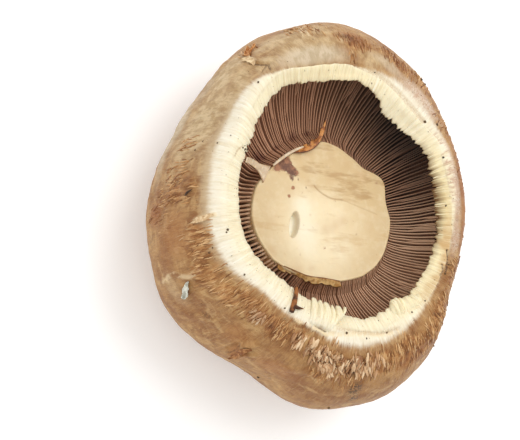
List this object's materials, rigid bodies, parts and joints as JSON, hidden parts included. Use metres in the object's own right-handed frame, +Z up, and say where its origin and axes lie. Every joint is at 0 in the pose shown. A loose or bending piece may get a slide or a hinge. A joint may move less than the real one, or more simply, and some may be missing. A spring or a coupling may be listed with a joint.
{
  "type": "portobello mushroom",
  "caption": "Large brown mushroom lying on its cap, gills up, with an inrolled margin, a torn cream veil and a short cut stem.",
  "frame": {"origin": "middle of the small flat on the crown that the mushroom rests on, under the stem's axis", "axes": "+Z up, from the crown to the gills and the cut stem; +Y along the cap's longest side, up the picture; +X to the picture's right"},
  "size_m": [0.0866, 0.1028, 0.045],
  "materials": {
    "cap_skin": "matte brown skin with silky fibres, fading to white at the margin",
    "veil": "matte cream, finely ribbed, torn at its edge",
    "gills": "matte dark pinkish brown",
    "stem_flesh": "matte cream cut flesh",
    "ring_scrap": "dried amber membrane"
  },
  "bodies": {
    "root": {"cap": "cap_skin", "veil_fringe": "veil", "gills": "gills", "stem": "stem_flesh", "ring_scrap_upper": "ring_scrap", "ring_scrap_lower": "ring_scrap"}
  },
  "joints": []
}
